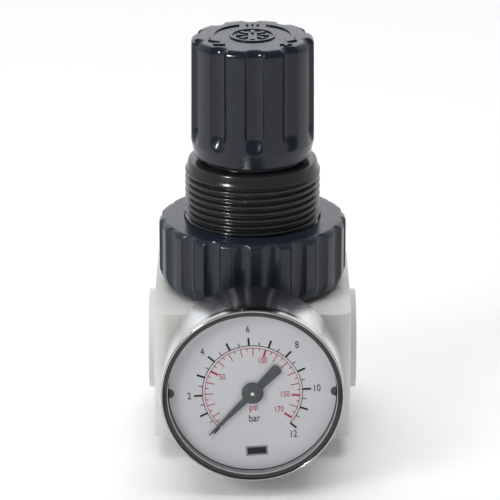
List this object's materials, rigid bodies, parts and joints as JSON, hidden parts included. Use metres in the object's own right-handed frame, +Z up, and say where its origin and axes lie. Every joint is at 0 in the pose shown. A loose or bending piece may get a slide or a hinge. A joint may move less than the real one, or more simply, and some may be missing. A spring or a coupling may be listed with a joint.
{
  "type": "air pressure regulator",
  "caption": "Compressed air pressure regulator with a square body, side ports, a fluted lift-to-turn knob, a panel mounting ring and a round dial gauge.",
  "frame": {"origin": "middle of the bottom plug's flat face, on the knob's axis", "axes": "+Z up along the knob's axis, -Y out of the gauge's face, +X towards the outlet port"},
  "size_m": [0.0588, 0.0851, 0.1157],
  "materials": {
    "painted_body": "light greenish grey paint on a die casting, fine satin texture",
    "black_plastic": "glass-filled black plastic, satin",
    "ring_plastic": "black plastic, satin, slightly bluish",
    "knob_plastic": "black plastic, satin to semi-gloss, slightly bluish",
    "zinc_steel": "zinc-plated steel",
    "bright_steel": "bright steel",
    "dark_steel": "phosphated steel",
    "spring_steel": "spring wire",
    "bronze_washer": "bronze",
    "brass_parts": "turned and stamped brass",
    "copper_tube": "copper alloy tube",
    "black_rubber": "black nitrile rubber",
    "plated_plug": "nickel-plated",
    "chrome_case": "polished",
    "clear_window": "clear plastic, polished",
    "dial_face": "pale grey-white print ground with printed scales",
    "pointer_grey": "dark grey, satin"
  },
  "bodies": {
    "regulator_body": {"body": "painted_body", "bonnet": "black_plastic", "mounting_ring": "ring_plastic", "thrust_washer": "bronze_washer", "bottom_plug": "black_plastic", "bottom_plug_o_ring": "black_rubber", "rear_port_plug": "plated_plug", "rear_plug_seal": "black_rubber", "gauge_socket": "brass_parts", "gauge_thread_seal": "black_rubber", "gauge_case": "chrome_case", "gauge_window": "clear_window", "gauge_dial": "dial_face", "movement_back_plate": "brass_parts", "movement_front_plate": "brass_parts", "movement_pillars": "brass_parts", "hairspring": "spring_steel", "bourdon_tube": "copper_tube", "tube_tip": "brass_parts", "diaphragm": "black_rubber", "range_spring": "spring_steel", "valve_spring": "spring_steel"},
    "screw": {"adjusting_screw": "zinc_steel", "screw_clip": "dark_steel"},
    "hand_knob": {"knob": "knob_plastic"},
    "nut": {"spring_nut": "brass_parts"},
    "sensing": {"diaphragm_plate": "zinc_steel", "relief_seat": "brass_parts"},
    "poppet": {"valve_poppet": "brass_parts", "valve_stem": "bright_steel", "valve_seal": "black_rubber", "stem_o_ring": "black_rubber"},
    "pointer": {"gauge_pointer": "pointer_grey", "pinion_shaft": "bright_steel"},
    "sector": {"sector_gear": "brass_parts"},
    "link": {"movement_link": "bright_steel"}
  },
  "joints": [
    {"name": "screw_turn", "type": "hinge", "parent": "regulator_body", "child": "screw", "pos_m": [0, 0, 0.08], "axis": [0, 0, 1], "range_deg": [-2160, 0]},
    {"name": "knob_lift", "type": "slide", "parent": "screw", "child": "hand_knob", "axis": [0, 0, 1], "range_m": [0, 0.004]},
    {"name": "nut_travel", "type": "slide", "parent": "regulator_body", "child": "nut", "axis": [0, 0, 1], "range_m": [-0.0091, 0.0001], "deforming": ["range_spring"]},
    {"name": "diaphragm_travel", "type": "slide", "parent": "regulator_body", "child": "sensing", "axis": [0, 0, 1], "range_m": [-0.0012, 0], "stiffness_N_per_m": 900, "springref_m": 0.001, "deforming": ["diaphragm"]},
    {"name": "poppet_travel", "type": "slide", "parent": "regulator_body", "child": "poppet", "axis": [0, 0, 1], "range_m": [-0.00121, 0.00001], "deforming": ["valve_spring"]},
    {"name": "pointer_turn", "type": "hinge", "parent": "regulator_body", "child": "pointer", "pos_m": [0, -0.047, 0.0297], "axis": [0, 1, 0], "range_deg": [0, 267.5], "stiffness_Nm_per_rad": 0.0002, "springref_deg": -5.73},
    {"name": "sector_turn", "type": "hinge", "parent": "regulator_body", "child": "sector", "pos_m": [0.001, -0.0415, 0.01534], "axis": [0, 1, 0], "range_deg": [-34, 0.1]},
    {"name": "link_turn", "type": "hinge", "parent": "sector", "child": "link", "pos_m": [-0.00482, -0.0424, 0.01388], "axis": [0, 1, 0], "range_deg": [-0.1, 34]}
  ],
  "couplings": [
    {"joint": "nut_travel", "follows": "screw_turn", "m_per_rad": 0.00023873},
    {"joint": "poppet_travel", "follows": "diaphragm_travel", "ratio": 1},
    {"joint": "sector_turn", "follows": "pointer_turn", "ratio": -0.125},
    {"joint": "link_turn", "follows": "pointer_turn", "ratio": 0.125}
  ]
}
